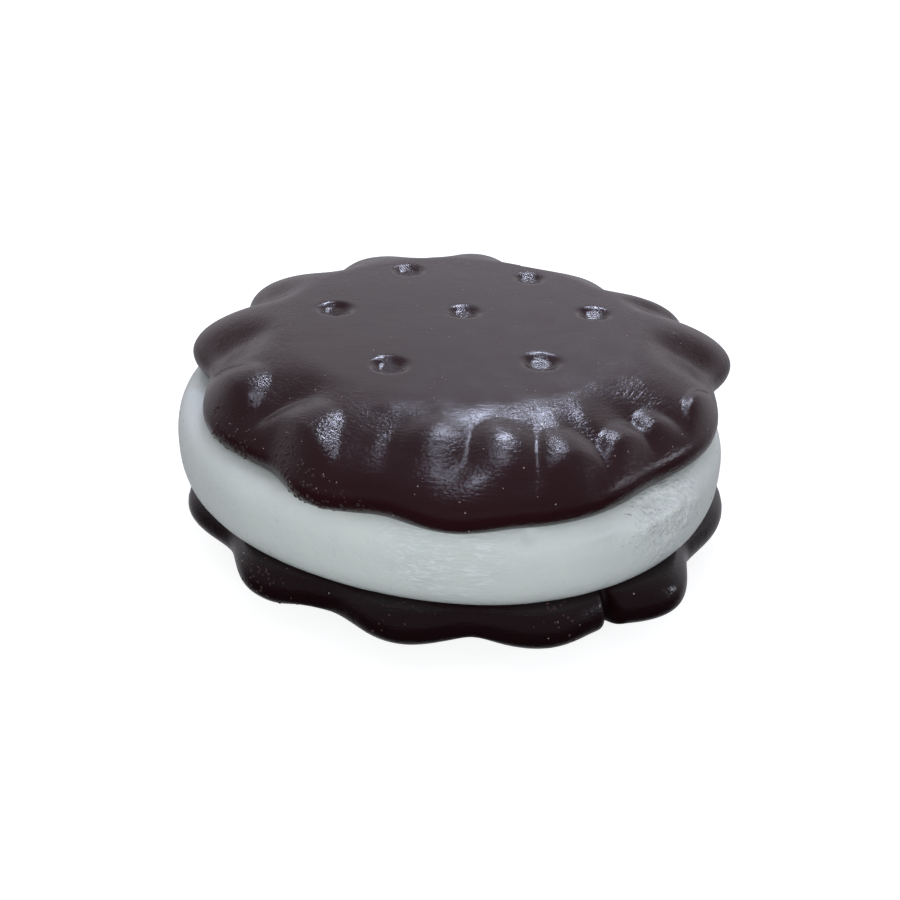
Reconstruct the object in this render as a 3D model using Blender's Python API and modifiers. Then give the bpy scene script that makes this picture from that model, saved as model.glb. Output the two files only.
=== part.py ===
"""Glossy moulded copy of a chocolate sandwich cookie.

Two dark scalloped wafers hold a thick white filling that bulges out between them. Both wafers
come from one mould, so each has seven pricked dimples in its outer face. The cookie stands on
the face of the lower wafer, with the middle of its box on the Z axis and its front towards -Y.
"""
import math
from collections import namedtuple

import bmesh
import bpy
from mathutils import Matrix, Vector

MM = 0.001

# Driving dimensions, in millimetres
WAFER_THICKNESS = 5.4
FILLING_THICKNESS = 6.3
SEAM_GAP = 0.3

# A wafer's section: a flat face, a round shoulder down to the widest level, a tight round edge
WIDEST_BELOW_FACE = 3.9
BACK_INSET = 1.2
SHOULDER_FULLNESS = 1.85

# Scallops. They grow to their full depth over the first millimetres of the shoulder, and where
# they are faded out the edge is swelled evenly, by this share of the lobes' height. The valleys
# between the lobes are also sunk into the shoulder, so that the lobes stand up as knuckles.
VALLEY_SOFTNESS = 1.2
VALLEY_DEPTH = 0.7
LOBE_RUN_IN = 3.0
EVEN_SWELL = 0.6

# Pricked dimples, in one uneven pattern on both wafers: six round one
DIMPLE_PLACES = (
    (0.0, 0.0),
    (12.2, 0.8),
    (6.5, 9.2),
    (-5.7, 10.1),
    (-11.9, -0.5),
    (-6.1, -12.0),
    (6.7, -10.2),
)
DIMPLE_HALF_WIDTH = 1.45
DIMPLE_DEPTH = 1.0
DIMPLE_BALL_ABOVE = 0.35

# Lobes: the valley on a lobe's clockwise side, at an angle in degrees and a radius, and how far
# out the lobe itself reaches.
Lobe = namedtuple("Lobe", "valley_angle valley_radius reach")

# Grooves pressed into a shoulder: angle and half width in degrees, depth in millimetres
Groove = namedtuple("Groove", "angle half_width depth")

WaferShape = namedtuple(
    "WaferShape", "lobes grooves face_middle face_radius pattern_middle pattern_turn steps")

# The upper wafer's face lies well back, so its front shoulder is its broadest
TOP_WAFER = WaferShape(
    lobes=(
        Lobe(22, 23.3, 23.8),
        Lobe(38, 21.0, 21.8),
        Lobe(69, 18.8, 24.8),
        Lobe(102, 22.4, 25.2),
        Lobe(132, 22.7, 25.5),
        Lobe(160, 23.3, 25.5),
        Lobe(190, 23.0, 24.5),
        Lobe(229, 23.7, 25.3),
        Lobe(255, 24.4, 25.6),
        Lobe(280, 24.9, 24.4),
        Lobe(312, 23.2, 23.4),
        Lobe(353, 22.3, 25.0),
    ),
    grooves=(
        Groove(258, 4.0, 0.35),
        Groove(271, 4.0, 0.35),
        Groove(282, 4.0, 0.45),
        Groove(294, 4.0, 0.35),
        Groove(307, 3.5, 0.7),
        Groove(317, 3.0, 0.6),
    ),
    face_middle=(-0.7, 2.3),
    face_radius=15.5,
    pattern_middle=(-0.4, 4.2),
    pattern_turn=0.0,
    steps=180,
)
BOTTOM_WAFER = WaferShape(
    lobes=(
        Lobe(2, 23.8, 25.0),
        Lobe(32, 23.6, 25.0),
        Lobe(62, 23.4, 24.8),
        Lobe(92, 23.4, 24.8),
        Lobe(122, 23.6, 25.0),
        Lobe(152, 23.8, 25.4),
        Lobe(183, 24.1, 25.9),
        Lobe(216, 24.4, 26.2),
        Lobe(245, 23.7, 26.0),
        Lobe(272, 24.0, 26.4),
        Lobe(298, 25.4, 26.7),
        Lobe(326, 23.8, 24.7),
    ),
    grooves=(Groove(299, 3.0, 0.9),),
    face_middle=(0.3, 0.0),
    face_radius=18.5,
    pattern_middle=(0.8, 1.0),
    pattern_turn=-8.0,
    steps=132,
)

# The filling: a fat band, a little to the left of the wafers and in front of them.
# Its slow waves are each a count round the band, a height and a lag in degrees.
FILLING_MIDDLE = (-1.7, -1.6)
FILLING_RADIUS = 24.1
FILLING_BULGE = 2.6
FILLING_FULLNESS = 2.6
FILLING_WAVES = ((2, 1.0, 70.0), (3, 0.15, 100.0), (5, 0.1, 10.0))

# Fineness of the faceted solids
FILLING_STEPS = 96
SHOULDER_RINGS = 8
EDGE_RINGS = 3
BAND_RINGS = 10
MERGE_DISTANCE = 0.00001

# sRGB colours
WAFER_COLOUR = "2b171a"
FILLING_COLOUR = "dfe3e2"


def linear_colour(srgb_hex):
    channels = [int(srgb_hex[i:i + 2], 16) / 255 for i in (0, 2, 4)]
    linear = [c / 12.92 if c <= 0.04045 else ((c + 0.055) / 1.055) ** 2.4 for c in channels]
    return (*linear, 1.0)


def plain_material(name, srgb_hex, roughness):
    material = bpy.data.materials.new(name)
    material.use_nodes = True
    shader = material.node_tree.nodes["Principled BSDF"]
    shader.inputs["Base Color"].default_value = linear_colour(srgb_hex)
    shader.inputs["Roughness"].default_value = roughness
    shader.inputs["Metallic"].default_value = 0.0
    return material


def new_collection(name):
    collection = bpy.data.collections.new(name)
    bpy.context.scene.collection.children.link(collection)
    return collection


def smooth_step(low, high, value):
    share = min(max((value - low) / (high - low), 0.0), 1.0)
    return share * share * (3.0 - 2.0 * share)


def angle_between(first, second):
    return (first - second + 180.0) % 360.0 - 180.0


def direction(degrees):
    return Vector((math.cos(math.radians(degrees)), math.sin(math.radians(degrees))))


def turned_mesh(name, profile, steps):
    """Turn a profile of (radius, height) points round the Z axis into one closed mesh."""
    outline = bpy.data.meshes.new(name + "_profile")
    points = [(radius * MM, 0.0, height * MM) for radius, height in profile]
    outline.from_pydata(points, [(i, i + 1) for i in range(len(points) - 1)], [])
    blank = bpy.data.objects.new(name + "_profile", outline)
    bpy.context.scene.collection.objects.link(blank)
    screw = blank.modifiers.new("turn", "SCREW")
    screw.axis = "Z"
    screw.angle = 2.0 * math.pi
    screw.steps = steps
    screw.render_steps = steps
    screw.use_merge_vertices = True
    screw.merge_threshold = MERGE_DISTANCE
    bpy.context.view_layer.update()
    evaluated = blank.evaluated_get(bpy.context.evaluated_depsgraph_get())
    turned = bpy.data.meshes.new_from_object(evaluated)
    turned.name = name
    bpy.data.objects.remove(blank)
    bpy.data.meshes.remove(outline)
    return turned


# The turned blank of a wafer, before its points move: its face reaches out to radius 1, its
# shoulder from 1 to 2, and its back lies within radius 1, on the other side of the widest level.
BLANK_FACE = 1.0
BLANK_WIDEST = 2.0


def wafer_profile():
    """Section of a wafer blank with its face up, from the middle of the face to that of the back."""
    points = [(0.0, 0.0), (0.5 * BLANK_FACE, 0.0), (BLANK_FACE, 0.0)]
    for ring in range(1, SHOULDER_RINGS + 1):
        way = math.sin(0.5 * math.pi * ring / SHOULDER_RINGS) ** 0.8
        drop = 1.0 - math.sqrt(1.0 - min(way, 1.0) ** SHOULDER_FULLNESS)
        points.append((BLANK_FACE + way * (BLANK_WIDEST - BLANK_FACE), -WIDEST_BELOW_FACE * drop))
    for ring in range(1, EDGE_RINGS + 1):
        turn = 0.5 * math.pi * ring / EDGE_RINGS
        edge_height = WAFER_THICKNESS - WIDEST_BELOW_FACE
        points.append((BLANK_WIDEST - (BLANK_WIDEST - BLANK_FACE) * (1.0 - math.cos(turn)),
                       -WIDEST_BELOW_FACE - edge_height * math.sin(turn)))
    points.append((0.0, -WAFER_THICKNESS))
    return points


def lobe_at(degrees, lobes):
    """The lobe at an angle, the one after it, and the share of the way across the lobe."""
    for index, lobe in enumerate(lobes):
        following = lobes[(index + 1) % len(lobes)]
        width = (following.valley_angle - lobe.valley_angle) % 360.0
        along = (degrees - lobe.valley_angle) % 360.0
        if along < width:
            return lobe, following, along / width
    raise ValueError("the lobes leave a gap at %s degrees" % degrees)


def lobe_swell(share):
    """Height of a lobe, from 0 in the valleys at its sides to 1 at its tip."""
    return math.sin(math.pi * share) ** VALLEY_SOFTNESS


def lobed_radius(degrees, lobes, lobing):
    """Radius of a scalloped outline. lobing goes from 0, an even round, to 1, full lobes."""
    lobe, following, share = lobe_at(degrees, lobes)
    rise = following.valley_radius - lobe.valley_radius
    floor = lobe.valley_radius + rise * smooth_step(0.0, 1.0, share)
    height = lobe.reach - 0.5 * (lobe.valley_radius + following.valley_radius)
    return floor + height * (lobing * lobe_swell(share) + (1.0 - lobing) * EVEN_SWELL)


def valley_depth(degrees, way, lobes):
    """Depth of the valleys in the shoulder, at a share of the way down it."""
    fade = smooth_step(0.05, 0.55, way) * (1.0 - smooth_step(0.75, 1.0, way))
    share = lobe_at(degrees, lobes)[2]
    return VALLEY_DEPTH * fade * (1.0 - lobe_swell(share)) ** 1.5


def groove_depth(degrees, way, grooves):
    """Depth of the grooves at a share of the way down the shoulder. They die out at its ends."""
    fade = smooth_step(0.2, 0.6, way) * (1.0 - 0.8 * smooth_step(0.8, 1.0, way))
    return fade * sum(groove.depth * math.exp(
        -(angle_between(degrees, groove.angle) / groove.half_width) ** 2) for groove in grooves)


def scalloped_place(x, y, height, shape):
    """Where a point of the blank goes, in millimetres. height is 0 at the face, negative below."""
    blank_radius = math.hypot(x, y)
    degrees = math.degrees(math.atan2(y, x)) % 360.0
    outward = direction(degrees)
    if height < -WIDEST_BELOW_FACE - 0.001:
        inset = BACK_INSET * (BLANK_WIDEST - blank_radius) / (BLANK_WIDEST - BLANK_FACE)
        edge = lobed_radius(degrees, shape.lobes, 1.0)
        radius = edge - inset if blank_radius > 0.5 * BLANK_FACE else 0.0
        return outward * radius, height
    face_edge = Vector(shape.face_middle) + outward * shape.face_radius
    if blank_radius <= BLANK_FACE:
        share = blank_radius / BLANK_FACE
        return Vector(shape.face_middle).lerp(face_edge, share), height
    way = (blank_radius - BLANK_FACE) / (BLANK_WIDEST - BLANK_FACE)
    distance = way * (lobed_radius(degrees, shape.lobes, 0.0) - face_edge.length)
    groove = 0.7 * groove_depth(degrees, way, shape.grooves)
    radius = lobed_radius(degrees, shape.lobes, smooth_step(0.0, LOBE_RUN_IN, distance)) - groove
    sink = groove + valley_depth(degrees, way, shape.lobes)
    return face_edge.lerp(outward * radius, way), height - sink


def dimple_places(shape):
    turn = Matrix.Rotation(math.radians(shape.pattern_turn), 2)
    return [Vector(shape.pattern_middle) + turn @ Vector(place) for place in DIMPLE_PLACES]


def dimple_cutter(name, place, face_height, facing, cutters):
    """A flattened ball whose middle lies just outside the face."""
    half_height = DIMPLE_DEPTH + DIMPLE_BALL_ABOVE
    rise = DIMPLE_BALL_ABOVE / half_height
    half_width = DIMPLE_HALF_WIDTH / math.sqrt(1.0 - rise * rise)
    size = Vector((half_width, half_width, half_height)) * MM
    mesh = bpy.data.meshes.new(name)
    ball = bmesh.new()
    bmesh.ops.create_uvsphere(ball, u_segments=16, v_segments=9, radius=1.0)
    bmesh.ops.scale(ball, vec=size, verts=ball.verts)
    ball.to_mesh(mesh)
    ball.free()
    cutter = bpy.data.objects.new(name, mesh)
    cutter.location = Vector((*place, face_height + facing * DIMPLE_BALL_ABOVE)) * MM
    cutter.hide_render = True
    cutter.display_type = "WIRE"
    cutters.objects.link(cutter)
    return cutter


def make_wafer(name, shape, facing, face_height, material, parts, cutters):
    """facing is 1 for a wafer whose face looks up and -1 for one whose face looks down."""
    profile = wafer_profile()
    if facing < 0:
        profile = [(radius, -height) for radius, height in reversed(profile)]
    mesh = turned_mesh(name, profile, shape.steps)
    for vertex in mesh.vertices:
        x, y, z = vertex.co / MM
        place, height = scalloped_place(x, y, facing * z, shape)
        vertex.co = Vector((*place, face_height + facing * height)) * MM
    mesh.materials.append(material)
    wafer = bpy.data.objects.new(name, mesh)
    parts.objects.link(wafer)
    for index, place in enumerate(dimple_places(shape)):
        cutter_name = "%s_dimple_%d" % (name, index + 1)
        cut = wafer.modifiers.new(cutter_name, "BOOLEAN")
        cut.operation = "DIFFERENCE"
        cut.object = dimple_cutter(cutter_name, place, face_height, facing, cutters)
    return wafer


def filling_profile():
    """Section of the filling, from the middle of its top to the middle of its bottom."""
    half = 0.5 * FILLING_THICKNESS
    points = [(0.0, half)]
    for ring in range(BAND_RINGS + 1):
        height = math.cos(math.pi * ring / BAND_RINGS)
        bulge = (1.0 - abs(height) ** FILLING_FULLNESS) ** (1.0 / FILLING_FULLNESS)
        points.append((FILLING_RADIUS - FILLING_BULGE * (1.0 - bulge), half * height))
    points.append((0.0, -half))
    return points


def make_filling(name, middle_height, material, parts):
    mesh = turned_mesh(name, filling_profile(), FILLING_STEPS)
    for vertex in mesh.vertices:
        x, y, z = vertex.co / MM
        radius = math.hypot(x, y)
        degrees = math.degrees(math.atan2(y, x))
        wave = sum(height * math.cos(math.radians(count * degrees + lag))
                   for count, height, lag in FILLING_WAVES)
        place = direction(degrees) * (radius + wave * (radius / FILLING_RADIUS) ** 2)
        vertex.co = Vector((FILLING_MIDDLE[0] + place.x, FILLING_MIDDLE[1] + place.y,
                            middle_height + z)) * MM
    mesh.materials.append(material)
    filling = bpy.data.objects.new(name, mesh)
    parts.objects.link(filling)
    return filling


def centre_on_axis(pieces, cutters):
    """Slide everything level so that the middle of the cookie's box lies on the Z axis."""
    corners = [vertex.co for piece in pieces for vertex in piece.data.vertices]
    shift = Vector((0.0, 0.0, 0.0))
    for axis in (0, 1):
        values = [corner[axis] for corner in corners]
        shift[axis] = -0.5 * (min(values) + max(values))
    for piece in pieces:
        piece.data.transform(Matrix.Translation(shift))
    for cutter in cutters.objects:
        cutter.location += shift


def main():
    for old in list(bpy.data.objects):
        bpy.data.objects.remove(old)
    parts = new_collection("chocolate_sandwich_cookie")
    cutters = new_collection("dimple_cutters")

    wafer_gloss = plain_material("dark_wafer_gloss", WAFER_COLOUR, 0.3)
    filling_gloss = plain_material("white_filling_gloss", FILLING_COLOUR, 0.35)

    filling_middle = WAFER_THICKNESS + SEAM_GAP + 0.5 * FILLING_THICKNESS
    top_face = 2.0 * (WAFER_THICKNESS + SEAM_GAP) + FILLING_THICKNESS
    bottom = make_wafer("bottom_wafer", BOTTOM_WAFER, -1, 0.0, wafer_gloss, parts, cutters)
    filling = make_filling("cream_filling", filling_middle, filling_gloss, parts)
    top = make_wafer("top_wafer", TOP_WAFER, 1, top_face, wafer_gloss, parts, cutters)
    centre_on_axis([bottom, filling, top], cutters)
    for piece in (bottom, filling, top):
        piece.data.shade_smooth()
        piece.data.set_sharp_from_angle(angle=math.radians(40.0))


main()
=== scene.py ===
"""Glossy moulded copy of a chocolate sandwich cookie, on a pale floor in soft light.

Two dark scalloped wafers, pressed by hand out of modelling clay and varnished, hold a fat band of
translucent white resin. The trees that make these three work in millimetres, as a maker would, and
their last step brings the mesh to metres.
"""

import math

import bpy
from mathutils import Matrix, Vector


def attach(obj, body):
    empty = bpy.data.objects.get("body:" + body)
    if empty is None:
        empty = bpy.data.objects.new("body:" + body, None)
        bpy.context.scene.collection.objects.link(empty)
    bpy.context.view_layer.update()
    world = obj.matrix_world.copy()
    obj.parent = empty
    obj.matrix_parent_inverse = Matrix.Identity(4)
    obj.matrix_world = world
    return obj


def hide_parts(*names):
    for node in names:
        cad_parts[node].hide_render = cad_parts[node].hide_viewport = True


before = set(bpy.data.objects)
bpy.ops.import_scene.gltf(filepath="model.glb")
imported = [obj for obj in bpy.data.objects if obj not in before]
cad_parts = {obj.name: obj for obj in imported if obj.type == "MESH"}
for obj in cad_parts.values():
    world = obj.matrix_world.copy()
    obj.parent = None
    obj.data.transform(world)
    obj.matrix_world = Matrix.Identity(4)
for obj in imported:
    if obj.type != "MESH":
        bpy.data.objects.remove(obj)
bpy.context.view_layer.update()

MM = 0.001
MATH = "ShaderNodeMath"
VECTOR = "ShaderNodeVectorMath"
MAP = "ShaderNodeMapRange"
GROUP = "GeometryNodeGroup"

# Sizes, in millimetres

CENTRING = (0.66, 0.27)
WAFER_THICKNESS = 5.4
FILLING_THICKNESS = 6.3
SEAM_GAP = 0.3
SEAM_SINK = 0.2
TOP_FACE_LEVEL = 2.0 * (WAFER_THICKNESS + SEAM_GAP) + FILLING_THICKNESS
WIDEST_BELOW_FACE = 3.9
BACK_INSET = 1.2
SHOULDER_FULLNESS = 1.85
VALLEY_SOFTNESS = 1.8
LOBE_RUN_IN = 3.0
CREASE_SOFTNESS = 0.25
EVEN_SWELL = 0.6
FINE_WOBBLE_SHARE = 0.35

# The scallops of each wafer: the angle and radius of the valley before a lobe, the lobe's reach, and how
# far the valley is sunk into the shoulder
TOP_LOBES = (
    (22, 23.3, 23.8, 0.5),
    (38, 21.0, 21.8, 0.5),
    (69, 18.8, 24.8, 0.5),
    (102, 22.4, 25.2, 0.4),
    (132, 22.7, 25.5, 0.4),
    (160, 23.3, 25.5, 0.5),
    (190, 23.0, 24.5, 0.5),
    (229, 23.7, 25.3, 0.4),
    (255, 24.4, 25.6, 0.0),
    (280, 24.9, 24.4, 0.0),
    (312, 23.2, 23.4, 0.5),
    (353, 22.3, 25.0, 0.6),
)
BOTTOM_LOBES = (
    (2, 23.8, 25.0, 0.5),
    (32, 23.6, 25.0, 0.5),
    (62, 23.4, 24.8, 0.5),
    (92, 23.4, 24.8, 0.5),
    (122, 23.6, 25.0, 0.5),
    (152, 23.8, 25.4, 0.5),
    (183, 24.1, 25.9, 0.5),
    (216, 24.4, 26.2, 0.5),
    (245, 24.3, 26.0, 0.5),
    (272, 24.7, 26.4, 0.5),
    (298, 25.6, 26.7, 0.5),
    (326, 23.8, 24.7, 0.5),
)

# Pricked holes: the middle of the pattern on each wafer, how far the clay round a hole is crinkled, and then
# each hole's place in the pattern, half width, depth, and its floor's tilt up to the right and to the back
TOP_HOLES_MIDDLE = (-0.4, 4.2)
BOTTOM_HOLES_MIDDLE = (0.8, 1.0)
BOTTOM_HOLES_TURN = -8.0
HOLE_CRINKLE_REACH = 2.2
HOLE_PLACES = (
    (0.0, 0.0, 1.75, 0.40, 0.15, 0.6),
    (12.2, 0.8, 1.80, 0.42, 0.25, 0.6),
    (6.5, 9.2, 1.70, 0.38, 0.15, 0.6),
    (-5.7, 10.1, 1.80, 0.40, 0.15, 0.6),
    (-11.9, -0.5, 1.90, 0.46, 0.20, 0.6),
    (-6.1, -12.0, 1.90, 0.44, 0.20, 0.6),
    (6.7, -10.2, 2.00, 0.44, 0.15, 0.6),
)

# Press marks left by the maker's fingers: middle x and y, turn in degrees, half length, half width
# and height
TOP_MARKS = (
    (-14.4, -15.6, 63, 4.6, 2.6, -0.10),
    (20.4, 0.6, 134, 4.0, 2.0, -0.12),
    (13.0, -16.6, 40, 4.5, 2.2, -0.35),
    (0.4, -20.6, 68, 4.5, 1.5, -0.30),
    (5.4, -20.6, 80, 4.5, 1.3, -0.30),
    (9.9, -19.0, 105, 4.0, 1.1, -0.35),
)
BOTTOM_MARKS = (
    (-12.0, -20.5, 60, 3.0, 1.6, -0.30),
    (2.0, -24.0, 90, 3.0, 1.4, -0.30),
)

# Grooves in the edge: middle x and y, turn in degrees, half length, half width, and how far the edge is
# pushed out, which is less than 0 for a groove
BOTTOM_GROOVES = (
    (12.9, -22.3, 300, 3.0, 0.5, -1.5),
)

# Knuckles squeezed up between the finger marks: middle x and y, the top's height above the face, which is
# less than 0 as all lie below it, turn in degrees, and how widely each is rounded along and across
TOP_KNUCKLES = (
    (-17.0, -9.2, -0.27, 60, 9.0, 6.0),
    (-10.4, -15.4, -0.28, 60, 12.0, 7.0),
    (-10.5, -17.9, -0.75, 60, 7.0, 4.5),
    (-5.7, -16.8, -0.62, 75, 9.0, 4.0),
    (-5.3, -14.3, -0.12, 85, 5.0, 6.0),
    (-1.7, -17.2, -0.13, 88, 8.0, 8.0),
    (3.3, -17.5, -0.17, 92, 9.0, 6.5),
    (7.5, -17.9, -0.45, 100, 9.0, 4.5),
    (12.1, -15.7, -0.92, 105, 8.0, 4.5),
    (15.1, -12.3, -1.08, 105, 9.0, 3.5),
    (20.4, -9.7, -0.8, 140, 5.0, 5.0),
)

# Radii of the varnish's zones. The face's brush lines are straight and wiped smooth inside the first. From
# the second the lines go round the rim, and from the third nothing is wiped
STRAIGHT_LINES_END = 13.0
ROUND_LINES_START = 17.0
WIPED_FACE_END = 16.0

# Patches where the clay is crumbly: middle x, y and z, and reach
CRUMBLY_PATCHES = (
    (-18.4, -15.0, 14.0, 1.9),
    (-11.8, -19.7, 14.0, 1.7),
    (-9.6, -21.8, 13.2, 1.7),
    (-4.3, -23.8, 5.4, 1.8),
    (-15.3, -20.5, 4.4, 2.2),
    (8.0, -23.8, 5.2, 1.6),
)

# The filling
FILLING_MIDDLE = (-1.7, -1.6)
FILLING_RADIUS = 24.1
FILLING_BULGE = 2.6
FILLING_FULLNESS = 2.6
FILLING_WAVES = ((2, 1.0, 70.0), (3, 0.15, 100.0), (5, 0.1, 10.0))

# Marks on the filling's side: middle x, y and z, turn, half length, half height and lift
FILLING_MARKS = (
    (14.9, -17.6, 11.9, 43, 2.0, 0.45, -1.10),
    (13.6, -19.0, 10.9, 40, 1.1, 0.60, 0.35),
    (16.6, -17.0, 11.2, 45, 1.0, 0.50, 0.30),
    (18.6, -15.2, 10.9, 50, 0.9, 0.60, 0.25),
    (15.6, -18.3, 9.6, 45, 1.2, 0.50, -0.15),
    (18.0, -16.2, 9.6, 50, 0.8, 0.60, 0.16),
    (10.5, -21.9, 11.4, 28, 1.3, 0.35, 0.20),
    (5.6, -24.0, 11.9, 15, 0.5, 0.50, -0.50),
    (1.5, -25.0, 11.6, 5, 2.6, 0.45, 0.14),
)

# Patches where the filling is wet and lumpy, where it is scratched, and where beads have set on it: middle
# x, y and z, and reach. In the wet and scratched patches the colour is also whitened, as painted glints
WET_PATCH = (16.5, -17.5, 10.8, 6.5)
SCRATCHED_PATCH = (-0.5, -25.0, 11.0, 7.0)
BEADED_PATCHES = (
    (16.9, -17.3, 10.9, 2.2),
    (13.6, -19.8, 11.0, 1.8),
)

# The camera, found from the photograph's perspective
CAMERA_LENS = 44.0
CAMERA_TARGET = (-0.54, 0.27, 5.1)
CAMERA_DISTANCE = 105.2
CAMERA_ELEVATION = 30.0
CAMERA_ROLL = 2.3

# The studio, in metres
FLOOR_HALF_SIZE = 3.0


def linear(srgb_hex):
    """An sRGB hex colour as linear red, green, blue and alpha."""
    channels = [int(srgb_hex[i:i + 2], 16) / 255 for i in (0, 2, 4)]
    values = [c / 12.92 if c <= 0.04045 else ((c + 0.055) / 1.055) ** 2.4 for c in channels]
    return (*values, 1.0)


def add(tree, kind, inputs=(), **settings):
    """Add a node with its settings. Its inputs, in order or by name, are values, nodes or sockets."""
    node = tree.nodes.new(kind)
    for setting, value in settings.items():
        setattr(node, setting, value)
    for key, value in inputs.items() if isinstance(inputs, dict) else enumerate(inputs):
        socket = node.inputs[key] if isinstance(key, int) else next(
            each for each in node.inputs if each.enabled and each.name == key)
        if isinstance(value, bpy.types.Node):
            value = next(each for each in value.outputs if each.enabled)
        if isinstance(value, bpy.types.NodeSocket):
            tree.links.new(value, socket)
        else:
            socket.default_value = value
    return node


def new_tree(name, inputs, outputs):
    """A geometry tree with named inputs and outputs. Inputs are (name, kind, default) each."""
    tree = bpy.data.node_groups.new(name, "GeometryNodeTree")
    for socket_name, kind, default in inputs:
        socket = tree.interface.new_socket(
            socket_name, in_out="INPUT", socket_type="NodeSocket" + kind)
        if default is not None:
            socket.default_value = default
    for socket_name, kind in outputs:
        tree.interface.new_socket(socket_name, in_out="OUTPUT", socket_type="NodeSocket" + kind)
    given = tree.nodes.new("NodeGroupInput")
    result = tree.nodes.new("NodeGroupOutput")
    return tree, given.outputs, result


def made_piece(name, tree, values):
    """Run a tree on an empty mesh with the given inputs, and keep the result as a plain mesh."""
    blank = bpy.data.objects.new(name + "_blank", bpy.data.meshes.new(name + "_blank"))
    bpy.context.scene.collection.objects.link(blank)
    modifier = blank.modifiers.new(name, "NODES")
    modifier.node_group = tree
    for socket in tree.interface.items_tree:
        if socket.in_out == "INPUT" and socket.name in values:
            modifier[socket.identifier] = values[socket.name]
    bpy.context.view_layer.update()
    evaluated = blank.evaluated_get(bpy.context.evaluated_depsgraph_get())
    mesh = bpy.data.meshes.new_from_object(evaluated)
    mesh.name = name
    blank.modifiers.remove(modifier)
    bpy.data.objects.remove(blank)
    piece = bpy.data.objects.new(name, mesh)
    bpy.context.scene.collection.objects.link(piece)
    return piece


# Trees that make the shapes

def disc_coordinates():
    """Turns a point of a cube from -1 to 1 into a direction round the cookie and a reach from its middle.

    A square grid bent round in this way has even faces and no pole.
    """
    tree, _, result = new_tree("disc_coordinates", (), (
        ("Outward", "Vector"), ("Angle", "Float"), ("Reach", "Float"), ("Level", "Float")))
    place = add(tree, "ShaderNodeSeparateXYZ", [add(tree, "GeometryNodeInputPosition")]).outputs
    x_size = add(tree, MATH, [place[0]], operation="ABSOLUTE")
    y_size = add(tree, MATH, [place[1]], operation="ABSOLUTE")
    reach = add(tree, MATH, [x_size, y_size], operation="MAXIMUM")
    sideways = add(tree, MATH, [x_size, y_size], operation="GREATER_THAN")
    side_slope = add(tree, MATH, [place[1], place[0]], operation="DIVIDE")
    end_slope = add(tree, MATH, [place[0], place[1]], operation="DIVIDE")
    left = add(tree, MATH, [place[0], 0.0], operation="LESS_THAN")
    front = add(tree, MATH, [place[1], 0.0], operation="LESS_THAN")
    left_turn = add(tree, MATH, [left, 180.0], operation="MULTIPLY")
    front_turn = add(tree, MATH, [front, 180.0, 90.0], operation="MULTIPLY_ADD")
    side_angle = add(tree, MATH, [side_slope, 45.0, left_turn], operation="MULTIPLY_ADD")
    end_angle = add(tree, MATH, [end_slope, -45.0, front_turn], operation="MULTIPLY_ADD")
    angle = add(tree, "ShaderNodeMix", {
        "Factor": sideways, "A": end_angle, "B": side_angle}, data_type="FLOAT")
    radians = add(tree, MATH, [angle], operation="RADIANS")
    outward = add(tree, "ShaderNodeCombineXYZ", [
        add(tree, MATH, [radians], operation="COSINE"),
        add(tree, MATH, [radians], operation="SINE")])
    for name, node in (("Outward", outward), ("Angle", angle), ("Reach", reach)):
        tree.links.new(next(each for each in node.outputs if each.enabled), result.inputs[name])
    tree.links.new(place[2], result.inputs["Level"])
    return tree


def scallop():
    """One lobe of an outline: its floor, height and swell, and how far its valleys are sunk.

    Outside the lobe's own angles all of them are nothing, so lobes can be added up.
    """
    tree, given, result = new_tree("scallop", (
        ("Angle", "Float", 0.0), ("From", "Float", 0.0), ("Width", "Float", 30.0),
        ("Radius Before", "Float", 24.0), ("Radius After", "Float", 24.0), ("Reach", "Float", 25.0),
        ("Sink Before", "Float", 0.5), ("Sink After", "Float", 0.5),
        ("Softness", "Float", VALLEY_SOFTNESS)), (("Round", "Vector"), ("Sink", "Float")))
    turned = add(tree, MATH, [given["Angle"], given["From"]], operation="SUBTRACT")
    along = add(tree, MATH, [turned, 360.0], operation="FLOORED_MODULO")
    share = add(tree, MATH, [along, given["Width"]], operation="DIVIDE")
    inside = add(tree, MATH, [share, 1.0], operation="LESS_THAN")
    floor = add(tree, MAP, {
        "Value": share, "To Min": given["Radius Before"], "To Max": given["Radius After"]},
        interpolation_type="SMOOTHSTEP")
    middle = add(tree, MATH, [given["Radius Before"], given["Radius After"]], operation="ADD")
    height = add(tree, MATH, [middle, -0.5, given["Reach"]], operation="MULTIPLY_ADD")
    arch = add(tree, MATH, [add(tree, MATH, [share, math.pi], operation="MULTIPLY")], operation="SINE")
    arch = add(tree, MATH, [arch, 0.0], operation="MAXIMUM")
    swell = add(tree, MATH, [arch, given["Softness"]], operation="POWER")
    values = add(tree, "ShaderNodeCombineXYZ", [floor, height, swell])
    kept = add(tree, VECTOR, {"Vector": values, "Scale": inside}, operation="SCALE")
    tree.links.new(kept.outputs["Vector"], result.inputs["Round"])
    low = add(tree, MATH, [add(tree, MATH, [1.0, swell], operation="SUBTRACT"), 1.5], operation="POWER")
    depth = add(tree, MAP, {"Value": share, "To Min": given["Sink Before"], "To Max": given["Sink After"]},
                interpolation_type="SMOOTHSTEP")
    low = add(tree, MATH, [low, depth], operation="MULTIPLY")
    sink = add(tree, MATH, [low, inside], operation="MULTIPLY")
    tree.links.new(sink.outputs[0], result.inputs["Sink"])
    return tree


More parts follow.
